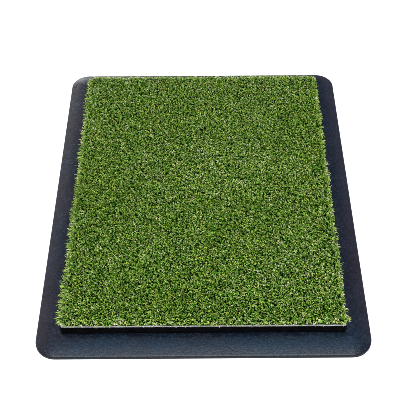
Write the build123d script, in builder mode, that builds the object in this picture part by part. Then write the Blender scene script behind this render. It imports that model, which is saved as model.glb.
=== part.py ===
from build123d import *
import os

# Golf hitting mat: a replaceable cushioned turf pad held in a moulded rubber base
# by hook-and-loop strips. Millimetres. The origin is on the floor, under the middle
# of the base; +Y runs along the mat and +Z is up.

# Rubber base
base_width = 350.0
base_length = 450.0
outer_corner_radius = 22.0
outer_edge_height = 4.0
outer_edge_rounding = 2.2
lip_height = 8.0
lip_land = 4.0
lip_rounding = 0.6
recess_floor = 6.0
recess_corner_radius = 6.0

# Grip pockets moulded into the underside of the base
pocket_side = 20.0
pocket_corner_radius = 3.0
pocket_pitch = 25.0
pocket_depth = 1.2
pockets_across = 12
pockets_along = 16

# Turf pad, from the foam up to the tips of the pile
pad_width = 295.0
pad_length = 395.0
pad_corner_radius = 1.5
pad_clearance = 2.0
foam_thickness = 11.0
latex_thickness = 0.9
primary_thickness = 0.9
pile_height = 10.2
pile_rounding = 3.0

# Hook-and-loop strips between the recess floor and the foam
strip_count = 4
strip_pitch = 100.0
strip_width = 25.0
strip_length = 240.0
strip_thickness = 1.2
strip_corner_radius = 2.0
channel_clearance = 1.0

# Sizes and levels that follow from the ones above
recess_width = pad_width + 2 * pad_clearance
recess_length = pad_length + 2 * pad_clearance
outer_x = base_width / 2
ramp_top_x = recess_width / 2 + lip_land
loop_bottom = recess_floor + strip_thickness
channel_depth = 2 * strip_thickness
latex_bottom = recess_floor + foam_thickness
primary_bottom = latex_bottom + latex_thickness
pile_bottom = primary_bottom + primary_thickness

strip_places = GridLocations(0, strip_pitch, 1, strip_count)

os.makedirs("parts", exist_ok=True)


def pad_layer(bottom, thickness):
    """A flat sheet of the turf pad, cut to the pad's outline."""
    with BuildPart() as layer:
        with BuildSketch(Plane.XY.offset(bottom)):
            RectangleRounded(pad_width, pad_length, pad_corner_radius)
        extrude(amount=thickness)
    return layer


def strip_at(place, bottom):
    """One flat hook or loop strip, running across the mat."""
    with BuildPart() as strip:
        with BuildSketch(Plane.XY.offset(bottom)):
            with Locations(place):
                RectangleRounded(strip_length, strip_width, strip_corner_radius)
        extrude(amount=strip_thickness)
    return strip


# Rubber base: a rounded slab whose border falls away in a bowed ramp, with a shallow
# recess for the pad on top and grip pockets underneath
with BuildSketch() as base_outline:
    RectangleRounded(base_width, base_length, outer_corner_radius)
rim_path = base_outline.sketch.face().outer_wire()

with BuildPart() as rubber_base:
    add(base_outline.sketch)
    extrude(amount=lip_height)

    with BuildSketch(Plane.XZ):
        with BuildLine():
            Polyline(
                (outer_x, outer_edge_height),
                (outer_x + lip_land, outer_edge_height),
                (outer_x + lip_land, lip_height + lip_land),
                (ramp_top_x, lip_height + lip_land),
                (ramp_top_x, lip_height),
            )
            TangentArc((ramp_top_x, lip_height), (outer_x, outer_edge_height), tangent=(1, 0))
        make_face()
    sweep(path=rim_path, mode=Mode.SUBTRACT)

    outer_rim = rubber_base.edges().filter_by_position(
        Axis.Z, outer_edge_height - 0.01, outer_edge_height + 0.01
    )
    fillet(outer_rim, radius=outer_edge_rounding)

    with BuildSketch(Plane.XY.offset(recess_floor)):
        RectangleRounded(recess_width, recess_length, recess_corner_radius)
    extrude(amount=lip_height, mode=Mode.SUBTRACT)
    lip_edges = rubber_base.faces().filter_by(Axis.Z).sort_by(Axis.Z)[-1].inner_wires()[0].edges()
    fillet(lip_edges, radius=lip_rounding)

    with BuildSketch():
        with GridLocations(pocket_pitch, pocket_pitch, pockets_across, pockets_along):
            RectangleRounded(pocket_side, pocket_side, pocket_corner_radius)
    extrude(amount=pocket_depth, mode=Mode.SUBTRACT)
rubber_base.part.label = "rubber_base"
export_step(rubber_base.part, "parts/rubber_base.step")


# Foam pad: a thick sheet with a shallow channel over each pair of strips
with BuildPart() as foam_pad:
    with BuildSketch(Plane.XY.offset(recess_floor)):
        RectangleRounded(pad_width, pad_length, pad_corner_radius)
    extrude(amount=foam_thickness)
    with BuildSketch(Plane.XY.offset(recess_floor)):
        with strip_places:
            Rectangle(strip_length + 2 * channel_clearance, strip_width + 2 * channel_clearance)
    extrude(amount=channel_depth, mode=Mode.SUBTRACT)
foam_pad.part.label = "foam_pad"
export_step(foam_pad.part, "parts/foam_pad.step")


# Latex coat that locks the tufts, under the primary backing
latex_coat = pad_layer(latex_bottom, latex_thickness)
latex_coat.part.label = "latex_coat"
export_step(latex_coat.part, "parts/latex_coat.step")


# Primary backing: the woven cloth that the fibres are tufted through
primary_backing = pad_layer(primary_bottom, primary_thickness)
primary_backing.part.label = "primary_backing"
export_step(primary_backing.part, "parts/primary_backing.step")


# Turf pile: the whole bed of curled fibres as one soft block with rounded top edges
with BuildPart() as turf_pile:
    with BuildSketch(Plane.XY.offset(pile_bottom)):
        RectangleRounded(pad_width, pad_length, pad_corner_radius)
    extrude(amount=pile_height)
    fillet(turf_pile.faces().sort_by(Axis.Z)[-1].edges(), radius=pile_rounding)
turf_pile.part.label = "turf_pile"
export_step(turf_pile.part, "parts/turf_pile.step")


# Hook strips on the base and the loop strips that grip them, from front to back
for number, place in enumerate(strip_places, start=1):
    hook_strip = strip_at(place, recess_floor)
    hook_strip.part.label = f"hook_strip_{number}"
    export_step(hook_strip.part, f"parts/hook_strip_{number}.step")

    loop_strip = strip_at(place, loop_bottom)
    loop_strip.part.label = f"loop_strip_{number}"
    export_step(loop_strip.part, f"parts/loop_strip_{number}.step")
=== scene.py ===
import math

import bpy
import numpy as np
from mathutils import Matrix, Vector


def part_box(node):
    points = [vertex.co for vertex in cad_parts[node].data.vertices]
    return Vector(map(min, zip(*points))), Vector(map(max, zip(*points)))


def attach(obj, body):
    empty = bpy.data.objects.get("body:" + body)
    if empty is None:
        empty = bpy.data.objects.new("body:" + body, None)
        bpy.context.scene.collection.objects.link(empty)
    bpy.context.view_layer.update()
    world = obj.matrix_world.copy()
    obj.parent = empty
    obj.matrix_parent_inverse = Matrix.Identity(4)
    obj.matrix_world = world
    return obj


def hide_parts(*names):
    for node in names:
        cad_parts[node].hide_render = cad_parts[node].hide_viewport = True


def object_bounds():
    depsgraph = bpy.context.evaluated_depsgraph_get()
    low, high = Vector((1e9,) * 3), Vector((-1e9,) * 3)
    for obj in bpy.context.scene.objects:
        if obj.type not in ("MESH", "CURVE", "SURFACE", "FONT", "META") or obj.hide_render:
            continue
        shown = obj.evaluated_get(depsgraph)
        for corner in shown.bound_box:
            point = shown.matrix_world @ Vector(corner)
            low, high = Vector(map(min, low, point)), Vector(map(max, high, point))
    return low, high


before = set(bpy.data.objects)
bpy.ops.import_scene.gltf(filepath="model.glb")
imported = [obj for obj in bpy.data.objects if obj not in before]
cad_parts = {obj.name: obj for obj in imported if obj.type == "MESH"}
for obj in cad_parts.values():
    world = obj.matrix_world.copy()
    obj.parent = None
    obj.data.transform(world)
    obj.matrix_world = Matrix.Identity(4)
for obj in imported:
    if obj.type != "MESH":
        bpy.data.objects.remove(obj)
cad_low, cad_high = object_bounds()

MM = 0.001
TAU = 2 * math.pi
PAD = "turf_pad"
BASE = "base"
STRIP_NUMBERS = (1, 2, 3, 4)

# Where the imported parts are, in metres: (lowest corner, highest corner)
PILE_LOW, PILE_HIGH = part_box("turf_pile")
CLOTH_LOW, CLOTH_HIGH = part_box("primary_backing")
LATEX_LOW, LATEX_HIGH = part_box("latex_coat")
FOAM_LOW, FOAM_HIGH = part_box("foam_pad")


# ---------------------------------------------------------------------------
# Mesh helpers
# ---------------------------------------------------------------------------
def make_piece(name, points, face_groups, body, node):
    """A smooth mesh from arrays of points and faces, riding on a body in place of a CAD node."""
    mesh = bpy.data.meshes.new(name)
    loops = np.concatenate([group.ravel() for group in face_groups]).astype(np.int32)
    totals = np.concatenate([np.full(len(group), group.shape[1]) for group in face_groups])
    starts = np.concatenate([[0], np.cumsum(totals)[:-1]]).astype(np.int32)
    mesh.vertices.add(len(points))
    mesh.vertices.foreach_set("co", points.astype(np.float32).ravel())
    mesh.loops.add(len(loops))
    mesh.loops.foreach_set("vertex_index", loops)
    mesh.polygons.add(len(starts))
    mesh.polygons.foreach_set("loop_start", starts)
    mesh.polygons.foreach_set("use_smooth", np.ones(len(starts), bool))
    mesh.update(calc_edges=True)
    mesh.validate()
    piece = bpy.data.objects.new(name, mesh)
    bpy.context.scene.collection.objects.link(piece)
    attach(piece, body)
    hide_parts(node)
    return piece


def unit(vectors):
    """Vectors scaled to length one."""
    return vectors / np.maximum(np.linalg.norm(vectors, axis=-1, keepdims=True), 1e-12)


def smooth_rise(values):
    """0 to 1 with flat ends."""
    values = np.clip(values, 0, 1)
    return values * values * (3 - 2 * values)


def tubes(paths, half_width, half_thickness, sides):
    """Closed tubes of oval section along many paths at once.

    paths is (tubes, stations, 3). The half sizes broadcast to (tubes, stations).
    Returns points, side quads and end faces.
    """
    count, stations, _ = paths.shape
    tangents = unit(np.gradient(paths, axis=1))
    across = np.empty_like(paths)
    any_way = np.array([0.31, 0.87, 0.38])
    across[:, 0] = unit(np.cross(tangents[:, 0], any_way))
    for i in range(1, stations):
        carried = across[:, i - 1]
        along = np.sum(carried * tangents[:, i], axis=1, keepdims=True) * tangents[:, i]
        across[:, i] = unit(carried - along)
    upward = np.cross(tangents, across)

    angles = np.arange(sides) * TAU / sides
    half_width = np.broadcast_to(half_width, (count, stations))[:, :, None, None]
    half_thickness = np.broadcast_to(half_thickness, (count, stations))[:, :, None, None]
    ring = (
        np.cos(angles)[None, None, :, None] * half_width * across[:, :, None, :]
        + np.sin(angles)[None, None, :, None] * half_thickness * upward[:, :, None, :]
    )
    points = (paths[:, :, None, :] + ring).reshape(-1, 3)

    here = np.arange(sides)
    after = (here + 1) % sides
    station = np.arange(stations - 1)[:, None] * sides
    quads = np.stack(
        [station + here, station + after, station + sides + after, station + sides + here], axis=-1
    ).reshape(-1, 4)
    first_cap = here[::-1][None, :]
    last_cap = ((stations - 1) * sides + here)[None, :]
    shift = (np.arange(count) * stations * sides)[:, None, None]
    quads = (quads[None] + shift).reshape(-1, 4)
    caps = (np.concatenate([first_cap, last_cap])[None] + shift).reshape(-1, sides)
    return points, quads, caps


def thread_uv(piece, shade, shades, progress, sides):
    """UV map OFBake for a bed of tubes: U runs root to tip, V is the tube's shade out of shades.

    progress is one row of stations for all the tubes, or one row for each.
    """
    place = (np.arange(sides) + 0.5) / sides
    progress = np.atleast_2d(progress)
    shape = (len(shade), progress.shape[1], sides)
    root_gap, row_gap = 0.02, 0.1
    u = np.broadcast_to(root_gap + (1 - 2 * root_gap) * progress[:, :, None], shape)
    in_row = row_gap + (1 - 2 * row_gap) * place[None, None, :]
    v = np.broadcast_to((shade[:, None, None] + in_row) / shades, shape)
    vertex_uv = np.stack([u.ravel(), v.ravel()], axis=-1)
    layer = piece.data.uv_layers.new(name="OFBake")
    corner = np.empty(len(piece.data.loops), np.int32)
    piece.data.loops.foreach_get("vertex_index", corner)
    layer.data.foreach_set("uv", vertex_uv[corner].astype(np.float32).ravel())


def grid_stops(low, high, step, extra=()):
    """Grid lines from low to high about a step apart, with extra lines where asked."""
    count = max(2, round((high - low) / step) + 1)
    stops = np.concatenate([np.linspace(low, high, count), np.array(extra, float)])
    stops = np.unique(stops.round(7))
    closest = 0.05 * MM
    return stops[np.concatenate([[True], np.diff(stops) > closest])]


def rim_order(columns, rows):
    """Grid indices round the edge of a grid, anticlockwise seen from above."""
    grid = np.arange(columns * rows).reshape(columns, rows)
    return np.concatenate([grid[:, 0], grid[-1, 1:], grid[-2::-1, -1], grid[0, -2:0:-1]])


def sheet(low, high, stops_x, stops_y, rng, wobble, tuck=0.0, levels=4, under=None):
    """A closed slab on a grid. Its cut sides waver by wobble, and its edges tuck in by tuck.

    under gives how far the underside is pressed up at each x, y.
    """
    x, y = np.meshgrid(stops_x, stops_y, indexing="ij")
    rim = rim_order(len(stops_x), len(stops_y))
    flat = np.stack([x.ravel(), y.ravel()], axis=-1)
    middle = np.array([(low.x + high.x) / 2, (low.y + high.y) / 2])
    half = np.array([high.x - middle[0], high.y - middle[1]])
    from_middle = flat[rim] - middle
    on_side = np.abs(np.abs(from_middle) - half) < 1e-6
    outward = unit(np.where(on_side, np.sign(from_middle), 0))

    # The cut side wavers along the edge, and each ring of it adds a little of its own
    steps = np.linspace(0, 1, levels)
    waver = rng.normal(0, wobble, len(rim))
    waver = (waver + np.roll(waver, 1) + np.roll(waver, -1)) / 2
    rings = []
    for step in steps:
        ragged = rng.normal(0, 0.4 * wobble, len(rim))
        bulge = -tuck * abs(2 * step - 1) ** 3 + 0.7 * waver + ragged
        rings.append(flat[rim] + outward * bulge[:, None])

    bottom = flat.copy()
    bottom[rim] = rings[0]
    top = flat.copy()
    top[rim] = rings[-1]
    press = np.zeros(len(flat)) if under is None else under(flat[:, 0], flat[:, 1])
    points = [
        np.column_stack([bottom, low.z + press]),
        np.column_stack([top, np.full(len(flat), high.z)]),
    ]
    height = high.z - low.z
    for step, ring in list(zip(steps, rings))[1:-1]:
        points.append(np.column_stack([ring, np.full(len(rim), low.z + height * step)]))

    columns, rows = x.shape
    grid = np.arange(columns * rows).reshape(columns, rows)
    cell = np.stack([grid[:-1, :-1], grid[1:, :-1], grid[1:, 1:], grid[:-1, 1:]], axis=-1).reshape(-1, 4)
    faces = [cell[:, ::-1], cell + len(flat)]
    inner = [2 * len(flat) + len(rim) * k + np.arange(len(rim)) for k in range(levels - 2)]
    loops = [rim] + inner + [rim + len(flat)]
    for below, above in zip(loops[:-1], loops[1:]):
        faces.append(np.stack([below, np.roll(below, -1), np.roll(above, -1), above], axis=-1))
    return np.concatenate(points), [np.concatenate(faces)]


# ---------------------------------------------------------------------------
# Material helpers
# ---------------------------------------------------------------------------
class Shader:
    """A node tree, its main node and short ways to add nodes to it."""

    def __init__(self, tree, output):
        self.nodes = tree.nodes
        self.links = tree.links
        self.out = tree.nodes[output]

    @classmethod
    def of_material(cls, name):
        """The node tree of a new principled material."""
        material = bpy.data.materials.new(name)
        material.use_nodes = True
        shader = cls(material.node_tree, "Principled BSDF")
        shader.material = material
        return shader

    def toward(self, direction, axis):
        """Cosine of the angle between a direction and an axis."""
        node = self.nodes.new("ShaderNodeVectorMath")
        node.operation = "DOT_PRODUCT"
        node.inputs[1].default_value = Vector(axis).normalized()
        self.links.new(direction, node.inputs[0])
        return node.outputs["Value"]

    def set(self, **values):
        """Fixed values for the main node's inputs, with _ for each space in a name."""
        for key, value in values.items():
            self.out.inputs[key.replace("_", " ")].default_value = value

    def drive(self, key, socket):
        """Link a socket to one of the main node's inputs."""
        self.links.new(socket, self.out.inputs[key])

    def position(self):
        """The place on the object, in metres."""
        return self.nodes.new("ShaderNodeTexCoord").outputs["Object"]

    def thread_axes(self):
        """(along, shade): the two directions of the OFBake map."""
        uv = self.nodes.new("ShaderNodeUVMap")
        uv.uv_map = "OFBake"
        split = self.nodes.new("ShaderNodeSeparateXYZ")
        self.links.new(uv.outputs["UV"], split.inputs[0])
        return split.outputs["X"], split.outputs["Y"]

    def stretched(self, socket, scale):
        """A place scaled by a different amount along each axis."""
        mapping = self.nodes.new("ShaderNodeMapping")
        mapping.inputs["Scale"].default_value = scale
        self.links.new(socket, mapping.inputs["Vector"])
        return mapping.outputs["Vector"]

    def noise(self, vector, scale, detail=3.0, roughness=0.55):
        """Cloudy noise, with scale features to a metre."""
        node = self.nodes.new("ShaderNodeTexNoise")
        node.inputs["Scale"].default_value = scale
        node.inputs["Detail"].default_value = detail
        node.inputs["Roughness"].default_value = roughness
        self.links.new(vector, node.inputs["Vector"])
        return node.outputs["Fac"]

    def cells(self, vector, scale):
        """Distance to the nearest cell centre, with scale cells to a metre."""
        node = self.nodes.new("ShaderNodeTexVoronoi")
        node.inputs["Scale"].default_value = scale
        self.links.new(vector, node.inputs["Vector"])
        return node.outputs["Distance"]

    def ramp(self, socket, stops):
        """A value turned into a color, or a grey, by stops of (position, color or grey)."""
        node = self.nodes.new("ShaderNodeValToRGB")
        elements = node.color_ramp.elements
        while len(elements) < len(stops):
            elements.new(0.5)
        for element, (position, color) in zip(elements, stops):
            element.position = position
            element.color = (*color, 1) if isinstance(color, tuple) else (color, color, color, 1)
        self.links.new(socket, node.inputs["Fac"])
        return node.outputs["Color"]

    def mix(self, first, second, factor=None, blend="MIX"):
        """Two colors blended by a factor from 0 to 1, or in full where there is none."""
        node = self.nodes.new("ShaderNodeMix")
        node.data_type = "RGBA"
        node.blend_type = blend
        node.inputs["Factor"].default_value = 1.0
        if factor is not None:
            self.links.new(factor, node.inputs["Factor"])
        for key, value in (("A", first), ("B", second)):
            if isinstance(value, tuple):
                node.inputs[key].default_value = (*value, 1)
            else:
                self.links.new(value, node.inputs[key])
        return node.outputs["Result"]

    def maths(self, operation, first, second):
        """One arithmetic step on two sockets or numbers."""
        node = self.nodes.new("ShaderNodeMath")
        node.operation = operation
        for slot, value in enumerate((first, second)):
            if isinstance(value, (int, float)):
                node.inputs[slot].default_value = value
            else:
                self.links.new(value, node.inputs[slot])
        return node.outputs[0]

    def bump(self, height, strength, distance, under=None):
        """A normal bumped by a height, on top of the normal under."""
        node = self.nodes.new("ShaderNodeBump")
        node.inputs["Strength"].default_value = strength
        node.inputs["Distance"].default_value = distance
        self.links.new(height, node.inputs["Height"])
        if under is not None:
            self.links.new(under, node.inputs["Normal"])
        return node.outputs["Normal"]


# ---------------------------------------------------------------------------
# Materials
# ---------------------------------------------------------------------------
def turf_material():
    """Nylon fibre: one of many greens by shade row, near black at the root as painted shade, paler at the
    tip partly as a painted highlight.
    """
    s = Shader.of_material("turf_fibre")
    along, shade = s.thread_axes()
    green = s.ramp(shade, [
        (0.0, (0.002, 0.045, 0.004)),
        (0.12, (0.008, 0.120, 0.010)),
        (0.22, (0.045, 0.140, 0.002)),
        (0.32, (0.015, 0.225, 0.014)),
        (0.42, (0.095, 0.270, 0.002)),
        (0.50, (0.110, 0.340, 0.070)),
        (0.58, (0.215, 0.380, 0.002)),
        (0.66, (0.180, 0.470, 0.110)),
        (0.74, (0.400, 0.530, 0.004)),
        (0.82, (0.440, 0.590, 0.270)),
        (0.90, (0.610, 0.670, 0.110)),
        (1.0, (0.850, 0.820, 0.790)),
    ])
    # Painted shade: each fibre is near black at its root and dark over its lower half, standing in for the
    # shade deep in the pile.
    depth = s.ramp(along, [
        (0.0, (0.002, 0.006, 0.001)),
        (0.52, (0.008, 0.030, 0.006)),
        (0.76, (0.34, 0.50, 0.22)),
        (0.9, 1.0),
    ])
    # Paler tip, partly the fibre's own pale end and partly a painted highlight of the light on the curls:
    # the last fifth is mixed toward a pale yellow green.
    tip = s.ramp(along, [(0.0, 0.0), (0.78, 0.0), (1.0, 0.42)])
    color = s.mix(s.mix(green, depth, blend="MULTIPLY"), (0.71, 0.80, 0.17), factor=tip)
    s.drive("Base Color", color)
    s.drive("Roughness", s.ramp(along, [(0.0, 0.8), (0.6, 0.5), (1.0, 0.36)]))
    gloss = s.ramp(shade, [(0.0, 0.15), (0.7, 0.25), (1.0, 0.9)])
    s.drive("Specular IOR Level", s.mix(gloss, s.ramp(along, [(0.5, 0.0), (0.95, 0.6)]), blend="MULTIPLY"))
    return s.material


def rubber_material():
    """Moulded rubber: satin, mottled blue-black, with a fine orange-peel skin and pale flecks."""
    s = Shader.of_material("base_rubber")
    where = s.position()
    blotches = s.noise(where, 60.0, 6.0, 0.7)
    drift = s.noise(where, 16.0, 2.0, 0.5)
    grain = s.noise(where, 430.0, 3.0, 0.7)
    cool = s.ramp(blotches, [(0.3, (0.004, 0.009, 0.018)), (0.7, (0.008, 0.016, 0.030))])
    warm = s.ramp(blotches, [(0.3, (0.006, 0.007, 0.014)), (0.7, (0.012, 0.014, 0.025))])
    skin = s.mix(cool, warm, factor=s.ramp(drift, [(0.42, 0.0), (0.62, 1.0)]))
    speckle = s.ramp(grain, [(0.30, 0.28), (0.50, 0.66), (0.66, 1.7)])
    s.drive("Base Color", s.mix(skin, speckle, blend="MULTIPLY"))
    s.drive("Roughness", s.ramp(blotches, [(0.25, 0.22), (0.75, 0.30)]))
    peel = s.bump(s.noise(where, 760.0, 2.0, 0.5), 0.35, 0.8 * MM)
    s.drive("Normal", s.bump(s.noise(where, 140.0, 2.0, 0.5), 0.12, 1.5 * MM, under=peel))
    s.set(Specular_IOR_Level=0.5)
    return s.material


def foam_material():
    """Closed-cell foam: black, darkened further to near black as painted shade for its face under the
    overhanging pad, matt, pitted with small cells.
    """
    s = Shader.of_material("foam")
    where = s.position()
    cells = s.cells(where, 1500.0)
    mottle = s.noise(where, 90.0, 4.0)
    # Painted shade: the foam's own black is darkened to near black, standing in for the shade on its face
    # under the turf.
    s.drive("Base Color", s.ramp(mottle, [(0.3, (0.001, 0.001, 0.0014)), (0.7, (0.004, 0.004, 0.005))]))
    s.drive("Roughness", s.ramp(cells, [(0.0, 0.95), (1.0, 0.75)]))
    s.drive("Normal", s.bump(cells, 0.7, 0.3 * MM))
    s.set(Specular_IOR_Level=0.06)
    return s.material


def latex_material():
    """Dried latex: light grey, chalky, slightly lumpy."""
    s = Shader.of_material("latex")
    where = s.position()
    lumps = s.noise(where, 260.0, 4.0, 0.6)
    s.drive("Base Color", s.ramp(lumps, [(0.3, (0.08, 0.08, 0.085)), (0.7, (0.20, 0.20, 0.20))]))
    s.drive("Roughness", s.ramp(lumps, [(0.3, 0.6), (0.7, 0.85)]))
    s.drive("Normal", s.bump(lumps, 0.6, 0.6 * MM))
    return s.material


def cloth_material():
    """Woven backing: a plain weave of tapes, pale grey on its cut sides, with painted shade making its
    upward faces under the pile near black green.
    """
    s = Shader.of_material("backing_cloth")
    where = s.position()
    split = s.nodes.new("ShaderNodeSeparateXYZ")
    s.links.new(where, split.inputs[0])
    radians_per_metre = TAU / (2.4 * MM)
    warp = s.maths("SINE", s.maths("MULTIPLY", split.outputs["X"], radians_per_metre), 0.0)
    weft = s.maths("SINE", s.maths("MULTIPLY", split.outputs["Y"], radians_per_metre), 0.0)
    weave = s.maths("MULTIPLY_ADD", s.maths("MULTIPLY", warp, weft), 0.5)
    mottle = s.noise(where, 300.0, 3.0)
    side = s.ramp(mottle, [(0.3, (0.42, 0.42, 0.43)), (0.7, (0.66, 0.66, 0.64))])
    # Painted shade: the upward faces, hidden under the pile, are near black green, standing in for the
    # shade between the fibres.
    top = s.ramp(mottle, [(0.3, (0.003, 0.010, 0.002)), (0.7, (0.008, 0.022, 0.004))])
    facing = s.nodes.new("ShaderNodeNewGeometry")
    facing_split = s.nodes.new("ShaderNodeSeparateXYZ")
    s.links.new(facing.outputs["Normal"], facing_split.inputs[0])
    # Upward faces get the painted shade, and the cut sides keep their own pale grey.
    upward = s.ramp(facing_split.outputs["Z"], [(0.55, 0.0), (0.85, 1.0)])
    s.drive("Base Color", s.mix(side, top, factor=upward))
    s.drive("Roughness", s.ramp(mottle, [(0.3, 0.7), (0.7, 0.9)]))
    s.drive("Normal", s.bump(weave, 0.6, 0.4 * MM))
    s.set(Specular_IOR_Level=0.2)
    return s.material


def thread_material(name, dark, light, roughness):
    """Thread or tape whose shade changes by row, with painted shade making it a little darker at its root.
    """
    s = Shader.of_material(name)
    along, shade = s.thread_axes()
    color = s.ramp(shade, [(0.0, dark), (1.0, light)])
    # Painted shade: the lower half of each thread is darkened toward its root, where it meets its tape or
    # cloth.
    s.drive("Base Color", s.mix(color, s.ramp(along, [(0.0, 0.5), (0.5, 1.0)]), blend="MULTIPLY"))
    s.drive("Roughness", s.ramp(along, [(0.0, min(1.0, roughness + 0.2)), (1.0, roughness)]))
    return s.material


def tape_material(name, dark, light):
    """The woven ground of a hook or loop strip."""
    s = Shader.of_material(name)
    where = s.position()
    ribs = s.noise(s.stretched(where, (1.0, 6.0, 1.0)), 700.0, 2.0)
    s.drive("Base Color", s.ramp(ribs, [(0.3, dark), (0.7, light)]))
    s.drive("Roughness", s.ramp(ribs, [(0.3, 0.9), (0.7, 0.7)]))
    s.drive("Normal", s.bump(ribs, 0.7, 0.3 * MM))
    s.set(Specular_IOR_Level=0.2)
    return s.material


# ---------------------------------------------------------------------------
# Turf pile
# ---------------------------------------------------------------------------
# The bed: how many tufts stand across and along it, and how it is split into pieces
TUFT_COLUMNS = 112
TUFT_ROWS = 150
TUFT_JITTER = 0.3
FIBRES_PER_TUFT = 3
PATCHES_ACROSS = 4
PATCHES_ALONG = 5

# One fibre: where its stations are from root to tip, its section, and how many shades there are
FIBRE_PROGRESS = np.array([0.0, 0.2, 0.38, 0.52, 0.64, 0.75, 0.85, 0.93, 1.0])
FIBRE_SIDES = 3
FIBRE_HALF_THICKNESS = 0.24 * MM
SHADE_ROWS = 48

# Ranges from which each fibre's shape is drawn, in millimetres or turns
FIBRE_HALF_WIDTH = (0.35, 0.56)
FIBRE_HEIGHT = (6.8, 10.8)
COIL_RADIUS = (0.55, 1.35)
COIL_TURNS = (1.1, 2.3)
FIBRE_LEAN = (0.0, 2.0)
COIL_BOB = (0.2, 1.1)

# Along the cut edges: how wide the edge zone is, how many millimetres its tips hang out at the sides
# and at the ends, the length of the slow wave in that overhang, and the share of its height that a
# tip loses for each millimetre that it hangs out
EDGE_REACH = 7.0 * MM
SIDE_SPLAY = (2.0, 6.0)
END_SPLAY = (0.6, 3.2)
EDGE_WANDER_LENGTH = 0.11
DROOP_PER_MM = 0.09

# The whole pile is swept to the left: by how many millimetres at mid-length, and how much less at
# the back and more at the front
SWEEP = 0.9
SWEEP_CHANGE = 0.7

# Right at the edge: how wide that zone is, and how much of a fibre's height is cut away
EDGE_THIN = 3.0 * MM
CUT_SHORT = (0.0, 0.75)

# Share of the pile's height that is worn or pressed away at the back edge and at the corners
BACK_WEAR = 0.32
CORNER_WEAR = 0.45

# How far the painted shade of the roots is lifted at the edges, and by how many shade rows of painted
# light each end is paler
EDGE_LIGHT = 0.75
BACK_PAINTED_LIGHT = 13
FRONT_PAINTED_LIGHT = 7


def curled_paths(rng, roots, outward):
    """Centre lines of curled fibres: each climbs, swells into a coil and leans over.

    Right at a cut edge many are cut short, so their tips cover the edge from the cloth up.
    """
    count = len(roots)

    def draw(low, high):
        return rng.uniform(low, high, (count, 1))

    t = FIBRE_PROGRESS[None, :]
    height = draw(*FIBRE_HEIGHT) * MM
    radius = draw(*COIL_RADIUS) * MM
    turns = draw(*COIL_TURNS) * rng.choice([-1, 1], (count, 1))
    phase = draw(0, TAU)
    lean_heading = draw(0, TAU)
    lean = draw(*FIBRE_LEAN) * MM
    bob = draw(*COIL_BOB) * MM
    bob_phase = draw(0, TAU)

    at_edge = np.abs(edge_nearness(roots, EDGE_THIN)).max(axis=1, keepdims=True)
    height = height * (1 - at_edge * draw(*CUT_SHORT))
    near = edge_nearness(roots, EDGE_REACH)
    at_back = np.clip(near[:, 1:], 0, 1)
    at_corner = np.abs(near).prod(axis=1, keepdims=True)
    height = height * (1 - BACK_WEAR * at_back) * (1 - CORNER_WEAR * at_corner)

    # The coil opens over the lower half, and the lean grows toward the tip
    swell = smooth_rise(t / 0.5)
    angle = phase + turns * TAU * t
    bend = t ** 1.6
    x = roots[:, :1] + radius * swell * np.cos(angle) + lean * bend * np.cos(lean_heading)
    y = roots[:, 1:2] + radius * swell * np.sin(angle) + lean * bend * np.sin(lean_heading)
    x = x + outward[:, :1] * bend
    y = y + outward[:, 1:2] * bend
    droop = 1 - DROOP_PER_MM * np.linalg.norm(outward, axis=1, keepdims=True) / MM
    climb = height * np.clip(droop, 0.5, 1) * (1 - (1 - t) ** 1.7)
    z = CLOTH_HIGH.z + climb + bob * swell * np.sin(angle + bob_phase)
    return np.stack([x, y, z], axis=-1)


def tuft_roots(rng):
    """Root of each fibre, and which patch it is in. Tufts stand in stitched rows."""
    width = PILE_HIGH.x - PILE_LOW.x
    length = PILE_HIGH.y - PILE_LOW.y
    column, row = np.meshgrid(np.arange(TUFT_COLUMNS), np.arange(TUFT_ROWS), indexing="ij")
    column = np.repeat(column.ravel(), FIBRES_PER_TUFT)
    row = np.repeat(row.ravel(), FIBRES_PER_TUFT)
    jitter = rng.uniform(-TUFT_JITTER, TUFT_JITTER, (len(column), 2))
    x = PILE_LOW.x + width * (column + 0.5 + jitter[:, 0]) / TUFT_COLUMNS
    y = PILE_LOW.y + length * (row + 0.5 + jitter[:, 1]) / TUFT_ROWS
    patch = (column * PATCHES_ACROSS // TUFT_COLUMNS) * PATCHES_ALONG + row * PATCHES_ALONG // TUFT_ROWS
    return np.stack([x, y], axis=-1), patch


def edge_nearness(roots, reach):
    """Signed closeness to the cut edges: +-1 at an edge, 0 from reach inward, for x and y."""
    right = np.clip(1 - (PILE_HIGH.x - roots[:, 0]) / reach, 0, 1)
    left = np.clip(1 - (roots[:, 0] - PILE_LOW.x) / reach, 0, 1)
    back = np.clip(1 - (PILE_HIGH.y - roots[:, 1]) / reach, 0, 1)
    front = np.clip(1 - (roots[:, 1] - PILE_LOW.y) / reach, 0, 1)
    return np.stack([right - left, back - front], axis=-1)


def outward_splay(rng, roots):
    """How far the tips near a cut edge hang outward over it, wandering along the edge.

    The whole pile is also swept a little to the left, more so toward the front.
    """
    near = edge_nearness(roots, EDGE_REACH)
    count = len(roots)
    reach = np.column_stack([rng.uniform(*SIDE_SPLAY, count), rng.uniform(*END_SPLAY, count)])
    along = roots[:, ::-1] / EDGE_WANDER_LENGTH
    wander = np.sin(TAU * along + 1.3 * np.sign(near)) + 0.6 * np.sin(TAU * 2.3 * along - np.sign(near))
    reach = reach + np.array([1.0, 0.3]) * wander
    corner = np.maximum(np.linalg.norm(near, axis=1, keepdims=True), 1) ** 4
    sweep = np.column_stack([-SWEEP + SWEEP_CHANGE * roots[:, 1] / PILE_HIGH.y, np.zeros(count)])
    return (near * reach / corner + sweep) * MM


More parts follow.
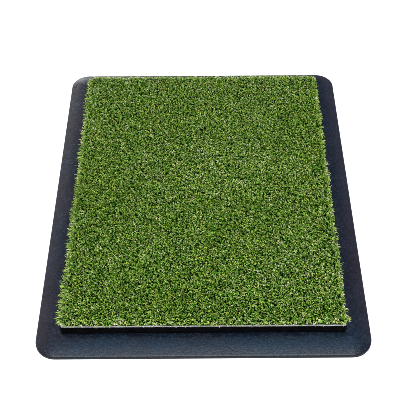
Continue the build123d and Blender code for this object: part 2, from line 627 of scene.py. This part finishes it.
def shade_rows(rng, roots):
    """Shade row of each fibre: random, drifting a little over the pad, and paler at the back and front
    ends as painted light.
    """
    drift_amount = 1.1
    x, y = (roots / PILE_HIGH.x).T
    near = edge_nearness(roots, EDGE_REACH)[:, 1]
    drift = np.sin(2.1 * x + 1.7 * y + 0.6) + np.sin(4.3 * x - 2.9 * y + 2.0) + np.sin(1.1 * x + 6.1 * y)
    # Painted light: fibres near the back and front edges get paler rows, standing in for the light that
    # catches the cut edges.
    painted_edge_light = BACK_PAINTED_LIGHT * np.clip(near, 0, 1) + FRONT_PAINTED_LIGHT * np.clip(-near, 0, 1)
    rows = rng.uniform(0, SHADE_ROWS, len(roots)) + drift_amount * drift + painted_edge_light
    return np.clip(rows, 0, SHADE_ROWS - 1).astype(int)


def make_turf(material):
    """The pile: thousands of curled fibres, in patches."""
    rng = np.random.default_rng(20417)
    roots, patch_of = tuft_roots(rng)
    outward = outward_splay(rng, roots)
    paths = curled_paths(rng, roots, outward)
    shade = shade_rows(rng, roots)
    half_width = rng.uniform(*FIBRE_HALF_WIDTH, (len(roots), 1)) * MM
    # Light gets in at the cut edges, so the fibres there use less of the map's dark root end
    open_side = np.abs(edge_nearness(roots, EDGE_REACH)).max(axis=1, keepdims=True)
    depth = 1 - (1 - FIBRE_PROGRESS) * (1 - EDGE_LIGHT * open_side)
    tip_length, tip_thinning = 0.2, 0.35
    tip = (FIBRE_PROGRESS - (1 - tip_length)) / tip_length
    taper = 1 - tip_thinning * smooth_rise(tip)[None, :]
    for patch in range(PATCHES_ACROSS * PATCHES_ALONG):
        chosen = patch_of == patch
        points, quads, caps = tubes(
            paths[chosen], half_width[chosen] * taper, FIBRE_HALF_THICKNESS * taper, FIBRE_SIDES
        )
        name = f"turf_patch_{patch + 1:02d}"
        piece = make_piece(name, points, [quads, caps], PAD, "turf_pile")
        thread_uv(piece, shade[chosen], SHADE_ROWS, depth[chosen], FIBRE_SIDES)
        piece.data.materials.append(material)


def make_strays(material):
    """Loose pale fibres that the cutting left: big curls at one front corner, small ones in front."""
    rng = np.random.default_rng(733)
    at_corner, in_front = 9, 26
    half_width, half_thickness, sides = 0.38 * MM, 0.22 * MM, 4
    corner = np.column_stack([
        rng.uniform(PILE_HIGH.x - 3 * MM, PILE_HIGH.x + 1 * MM, at_corner),
        rng.uniform(PILE_LOW.y, PILE_LOW.y + 9 * MM, at_corner),
    ])
    front = np.column_stack([
        rng.uniform(PILE_LOW.x, PILE_HIGH.x, in_front),
        np.full(in_front, PILE_LOW.y + 0.3 * MM),
    ])
    roots = np.concatenate([corner, front])

    def draw(corner_range, front_range):
        values = [rng.uniform(*corner_range, at_corner), rng.uniform(*front_range, in_front)]
        return np.concatenate(values)[:, None]

    heading = draw((-1.2, 0.5), (-2.4, -0.7))
    reach = draw((3.0, 6.5), (0.5, 1.7)) * MM
    t = np.linspace(0, 1, 9)[None, :]
    curl = rng.uniform(0.6, 1.3, (len(roots), 1)) * MM
    phase = rng.uniform(0, TAU, (len(roots), 1))
    bend = curl * np.sin(phase + 4.2 * t) - curl * np.sin(phase)
    x = roots[:, :1] + reach * t * np.cos(heading) - bend * np.sin(heading)
    y = roots[:, 1:] + reach * t * np.sin(heading) + bend * np.cos(heading)
    rise = draw((2.5, 5.5), (0.4, 1.4))
    z = CLOTH_HIGH.z + (rise + 1.6 * np.sin(np.pi * t) - 1.2 * t) * MM
    paths = np.stack([x, y, z], axis=-1)
    points, quads, caps = tubes(paths, half_width, half_thickness, sides)
    piece = make_piece("turf_strays", points, [quads, caps], PAD, "turf_pile")
    palest = rng.integers(SHADE_ROWS - 6, SHADE_ROWS, len(roots))
    pale_stretch = 0.78 + 0.08 * t[0]
    thread_uv(piece, palest, SHADE_ROWS, pale_stretch, sides)
    piece.data.materials.append(material)


# ---------------------------------------------------------------------------
# Backing and foam under the pile
# ---------------------------------------------------------------------------
THREAD_SHADES = 16
THREAD_SIDES = 4


def make_backing(cloth, thread):
    """The woven cloth, and the cut ends of its tapes along the pad's four sides."""
    rng = np.random.default_rng(51)
    stops_x = grid_stops(CLOTH_LOW.x, CLOTH_HIGH.x, 4 * MM)
    stops_y = grid_stops(CLOTH_LOW.y, CLOTH_HIGH.y, 4 * MM)
    points, faces = sheet(CLOTH_LOW, CLOTH_HIGH, stops_x, stops_y, rng, 0.12 * MM)
    piece = make_piece("primary_backing_cloth", points, faces, PAD, "primary_backing")
    piece.data.materials.append(cloth)

    pitch, inset = 1.15 * MM, 0.6 * MM
    half_width, half_thickness = 0.24 * MM, 0.42 * MM
    starts, headings = [], []
    for axis in (0, 1):
        other = 1 - axis
        count = round((CLOTH_HIGH[other] - CLOTH_LOW[other]) / pitch)
        spread = CLOTH_LOW[other] + pitch * (np.arange(count) + 0.5)
        for sign, edge in ((-1, CLOTH_LOW[axis]), (1, CLOTH_HIGH[axis])):
            start = np.empty((count, 2))
            start[:, axis] = edge - sign * inset
            start[:, other] = spread + rng.normal(0, 0.12 * MM, count)
            heading = np.zeros((count, 2))
            heading[:, axis] = sign
            heading[:, other] = rng.normal(0, 0.16, count)
            starts.append(start)
            headings.append(heading)
    starts = np.concatenate(starts)
    headings = unit(np.concatenate(headings))
    progress = np.linspace(0, 1, 4)
    reach = (0.6 + rng.gamma(1.5, 0.22, len(starts)).clip(0, 1.6))[:, None] * MM
    sag = rng.normal(-0.1, 0.28, len(starts)).clip(-0.5, 0.4)[:, None] * MM
    level = (CLOTH_LOW.z + CLOTH_HIGH.z) / 2 + rng.uniform(-0.22, 0.22, len(starts))[:, None] * MM
    x = starts[:, :1] + headings[:, :1] * reach * progress[None, :]
    y = starts[:, 1:] + headings[:, 1:] * reach * progress[None, :]
    z = level + sag * progress[None, :] ** 2
    paths = np.stack([x, y, z], axis=-1)
    points, quads, caps = tubes(paths, half_width, half_thickness, THREAD_SIDES)
    name = "primary_backing_cut_ends"
    ends = make_piece(name, points, [quads, caps], PAD, "primary_backing")
    shade = rng.integers(0, THREAD_SHADES, len(starts))
    thread_uv(ends, shade, THREAD_SHADES, progress, THREAD_SIDES)
    ends.data.materials.append(thread)


def make_latex(material):
    """The latex coat, with the ragged edge a knife leaves."""
    rng = np.random.default_rng(52)
    stops_x = grid_stops(LATEX_LOW.x, LATEX_HIGH.x, 3 * MM)
    stops_y = grid_stops(LATEX_LOW.y, LATEX_HIGH.y, 3 * MM)
    points, faces = sheet(LATEX_LOW, LATEX_HIGH, stops_x, stops_y, rng, 0.16 * MM)
    piece = make_piece("latex_coat_sheet", points, faces, PAD, "latex_coat")
    piece.data.materials.append(material)


def make_foam(material):
    """The foam cushion, with a soft channel pressed in over each pair of strips."""
    rng = np.random.default_rng(53)
    room = 1.0 * MM
    wall = 0.5 * MM
    boxes = [(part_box(f"hook_strip_{n}"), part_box(f"loop_strip_{n}")) for n in STRIP_NUMBERS]
    left = boxes[0][0][0].x - room
    right = boxes[0][0][1].x + room
    fronts = [hook[0].y - room for hook, _ in boxes]
    backs = [hook[1].y + room for hook, _ in boxes]
    depth = boxes[0][1][1].z - FOAM_LOW.z
    lines_x = [left, left + wall, right - wall, right]
    lines_y = [value for f, b in zip(fronts, backs) for value in (f, f + wall, b - wall, b)]
    stops_x = grid_stops(FOAM_LOW.x, FOAM_HIGH.x, 4 * MM, lines_x)
    stops_y = grid_stops(FOAM_LOW.y, FOAM_HIGH.y, 4 * MM, lines_y)

    def pressed(x, y):
        inside_x = np.minimum(x - left, right - x) > wall * 0.9
        inside_y = np.zeros(len(y), bool)
        for f, b in zip(fronts, backs):
            inside_y |= np.minimum(y - f, b - y) > wall * 0.9
        return np.where(inside_x & inside_y, depth, 0.0)

    points, faces = sheet(
        FOAM_LOW, FOAM_HIGH, stops_x, stops_y, rng, 0.10 * MM, tuck=0.35 * MM, levels=8, under=pressed
    )
    piece = make_piece("foam_pad_cushion", points, faces, PAD, "foam_pad")
    piece.data.materials.append(material)


# ---------------------------------------------------------------------------
# Hook-and-loop strips
# ---------------------------------------------------------------------------
TAPE_GROUND = 0.45 * MM


def strip_places(low, high, pitch, rng):
    """Jittered grid of thread roots on a strip."""
    margin = 1.2 * MM
    x = grid_stops(low.x + margin, high.x - margin, pitch)
    y = grid_stops(low.y + margin, high.y - margin, pitch)
    x, y = np.meshgrid(x, y, indexing="ij")
    places = np.column_stack([x.ravel(), y.ravel()])
    return places + rng.normal(0, 0.08 * pitch, places.shape)


def make_tape(name, low, high, rng, body, node, material):
    """The flat ground of a strip."""
    stops_x = grid_stops(low.x, high.x, 3 * MM)
    stops_y = grid_stops(low.y, high.y, 2.5 * MM)
    points, faces = sheet(low, high, stops_x, stops_y, rng, 0.08 * MM, levels=3)
    piece = make_piece(name, points, faces, body, node)
    piece.data.materials.append(material)


def make_threads(name, paths, radius, rng, body, node, material):
    """The hooks or the loops of a strip, as round threads along paths."""
    progress = np.linspace(0, 1, paths.shape[1])
    points, quads, caps = tubes(paths, radius, radius, THREAD_SIDES)
    piece = make_piece(name, points, [quads, caps], body, node)
    shade = rng.integers(0, THREAD_SHADES, len(paths))
    thread_uv(piece, shade, THREAD_SHADES, progress, THREAD_SIDES)
    piece.data.materials.append(material)


def make_hook_strip(number, tape, thread):
    """Ground tape on the base, with a field of small bent hooks standing on it."""
    node = f"hook_strip_{number}"
    rng = np.random.default_rng(100 + number)
    low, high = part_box(node)
    tape_top = Vector((high.x, high.y, low.z + TAPE_GROUND))
    make_tape(f"{node}_tape", low, tape_top, rng, BASE, node, tape)
    places = strip_places(low, high, 2.0 * MM, rng)
    rise = high.z - tape_top.z
    angle = np.linspace(0, 1.15 * np.pi, 6)
    bow = 0.17 * MM
    side = np.concatenate([[0, 0], bow * (1 - np.cos(angle[1:]))])
    up = np.concatenate([[-0.1 * MM, (rise - bow) * 0.5], rise - bow * 1.4 + bow * np.sin(angle[1:])])
    flip = np.where(np.arange(len(places)) % 2 == 0, 1.0, -1.0)[:, None]
    paths = np.stack([
        places[:, :1] + flip * side[None, :],
        places[:, 1:] + 0 * side[None, :],
        tape_top.z + up[None, :] + 0 * flip,
    ], axis=-1)
    make_threads(f"{node}_hooks", paths, 0.09 * MM, rng, BASE, node, thread)


def make_loop_strip(number, tape, thread):
    """Ground tape under the foam, with a fuzz of small loops hanging from it."""
    node = f"loop_strip_{number}"
    rng = np.random.default_rng(200 + number)
    low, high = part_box(node)
    tape_bottom = Vector((low.x, low.y, high.z - TAPE_GROUND))
    make_tape(f"{node}_tape", tape_bottom, high, rng, PAD, node, tape)
    places = strip_places(low, high, 1.7 * MM, rng)
    drop = tape_bottom.z - low.z - 0.1 * MM
    angle = np.linspace(0, np.pi, 7)[None, :]
    heading = rng.uniform(0, TAU, (len(places), 1))
    span = rng.uniform(0.35, 0.75, (len(places), 1)) * MM
    sag = drop * rng.uniform(0.65, 1.0, (len(places), 1))
    paths = np.stack([
        places[:, :1] + span * np.cos(angle) * np.cos(heading),
        places[:, 1:] + span * np.cos(angle) * np.sin(heading),
        tape_bottom.z - sag * np.sin(angle) + 0.02 * MM,
    ], axis=-1)
    make_threads(f"{node}_loops", paths, 0.06 * MM, rng, PAD, node, thread)


# ---------------------------------------------------------------------------
# Stage, light and camera
# ---------------------------------------------------------------------------
DIM_WALLS = (0.04, 0.04, 0.042)

# Glows on the walls and ceiling. Each has an azimuth from +Y toward +X, an elevation and a reach,
# all in degrees, and a color. In turn: ceiling, left wall, right wall, the bright patch at the
# far left, the dim one at the far right, and the top and the face of the panel behind the camera.
GLOWS = (
    (0, 80, 28, (0.72, 1.20, 1.75)),
    (-64, 26, 48, (0.98, 0.89, 0.97)),
    (58, 28, 32, (0.60, 0.52, 0.64)),
    (-18, 11, 20, (3.8, 3.8, 3.8)),
    (25, 22, 20, (0.45, 0.40, 0.48)),
    (180, 68, 28, (4.6, 4.6, 4.6)),
    (180, 40, 28, (4.0, 4.0, 4.0)),
)


def make_stage():
    """A plain white floor: pure white to the camera, a softer white to the light it bounces."""
    half, gap = 6.0, 0.1 * MM
    corners = [(-half, -half, 0), (half, -half, 0), (half, half, 0), (-half, half, 0)]
    mesh = bpy.data.meshes.new("floor")
    mesh.from_pydata(corners, [], [(0, 1, 2, 3)])
    floor = bpy.data.objects.new("floor", mesh)
    floor.location.z = cad_low.z - gap
    bpy.context.scene.collection.objects.link(floor)
    s = Shader.of_material("pale_floor")
    s.set(Base_Color=(0.32, 0.32, 0.32, 1), Roughness=0.9, Emission_Color=(1, 1, 1, 1))
    s.drive("Emission Strength", s.nodes.new("ShaderNodeLightPath").outputs["Is Camera Ray"])
    mesh.materials.append(s.material)


def make_panel(name, place, target, size, energy):
    """A white softbox facing a target point. It isn't mirrored: the world's glows are."""
    lamp = bpy.data.lights.new(name, "AREA")
    lamp.shape = "RECTANGLE"
    lamp.size, lamp.size_y = size
    lamp.energy = energy
    panel = bpy.data.objects.new(name, lamp)
    panel.location = place
    panel.rotation_euler = (Vector(target) - Vector(place)).to_track_quat("-Z", "Y").to_euler()
    panel.visible_glossy = False
    bpy.context.scene.collection.objects.link(panel)


def make_world():
    """Soft studio surroundings: dim walls with broad glows, and plain white to the camera."""
    world = bpy.data.worlds.new("soft_room")
    world.use_nodes = True
    bpy.context.scene.world = world
    s = Shader(world.node_tree, "Background")
    direction = s.nodes.new("ShaderNodeTexCoord").outputs["Generated"]
    color = DIM_WALLS
    for azimuth, elevation, reach, glow in GLOWS:
        a, e = math.radians(azimuth), math.radians(elevation)
        axis = (math.sin(a) * math.cos(e), math.cos(a) * math.cos(e), math.sin(e))
        rim = math.cos(math.radians(reach))
        spread = s.ramp(s.toward(direction, axis), [(rim, 0.0), ((rim + 1) / 2, 0.35), (1.0, 1.0)])
        color = s.mix(color, glow, factor=spread)
    seen = s.nodes.new("ShaderNodeLightPath").outputs["Is Camera Ray"]
    s.drive("Color", s.mix(color, (1.0, 1.0, 1.0), factor=seen))


def make_light():
    """The glowing room, and one key softbox near the camera, a little to its right."""
    make_world()
    place, target = (0.3, -1.0, 1.4), (0, -0.05, 0)
    make_panel("key_softbox", place, target, size=(0.9, 0.6), energy=28)


def make_camera():
    """From the front, looking down at a little under 48 degrees."""
    place = (0.0024, -0.7361, 0.7903)
    pitch = math.radians(47.64)
    yaw = math.radians(0.273)
    roll = math.radians(0.16)
    forward = Vector((math.sin(yaw) * math.cos(pitch), math.cos(yaw) * math.cos(pitch), -math.sin(pitch)))
    level = Vector((math.cos(yaw), -math.sin(yaw), 0))
    down = forward.cross(level)
    right = level * math.cos(roll) + down * math.sin(roll)
    up = level * math.sin(roll) - down * math.cos(roll)
    data = bpy.data.cameras.new("camera")
    data.lens = 78.16
    data.sensor_width = 36
    data.clip_start = 0.05
    data.clip_end = 30
    camera = bpy.data.objects.new("camera", data)
    turn = Matrix((right, up, -forward)).transposed().to_4x4()
    camera.matrix_world = Matrix.Translation(place) @ turn
    bpy.context.scene.collection.objects.link(camera)
    bpy.context.scene.camera = camera


# ---------------------------------------------------------------------------
# The scene
# ---------------------------------------------------------------------------
base_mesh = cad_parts["rubber_base"].data
base_mesh.materials.clear()
base_mesh.materials.append(rubber_material())

fibre = turf_material()
make_turf(fibre)
make_strays(fibre)
backing_thread = thread_material("backing_thread", (0.14, 0.14, 0.15), (0.50, 0.50, 0.48), 0.7)
make_backing(cloth_material(), backing_thread)
make_latex(latex_material())
make_foam(foam_material())

hook_tape = tape_material("hook_tape", (0.008, 0.008, 0.009), (0.020, 0.020, 0.022))
hook_thread = thread_material("hook_thread", (0.010, 0.010, 0.011), (0.030, 0.030, 0.033), 0.35)
loop_tape = tape_material("loop_tape", (0.010, 0.010, 0.012), (0.024, 0.024, 0.027))
loop_thread = thread_material("loop_thread", (0.016, 0.016, 0.018), (0.050, 0.050, 0.055), 0.6)
for strip_number in STRIP_NUMBERS:
    make_hook_strip(strip_number, hook_tape, hook_thread)
    make_loop_strip(strip_number, loop_tape, loop_thread)

make_stage()
make_light()
make_camera()
bpy.context.scene.view_settings.view_transform = "Standard"
bpy.context.scene.cycles.filter_width = 0.8
bpy.context.scene.cycles.denoising_prefilter = "NONE"
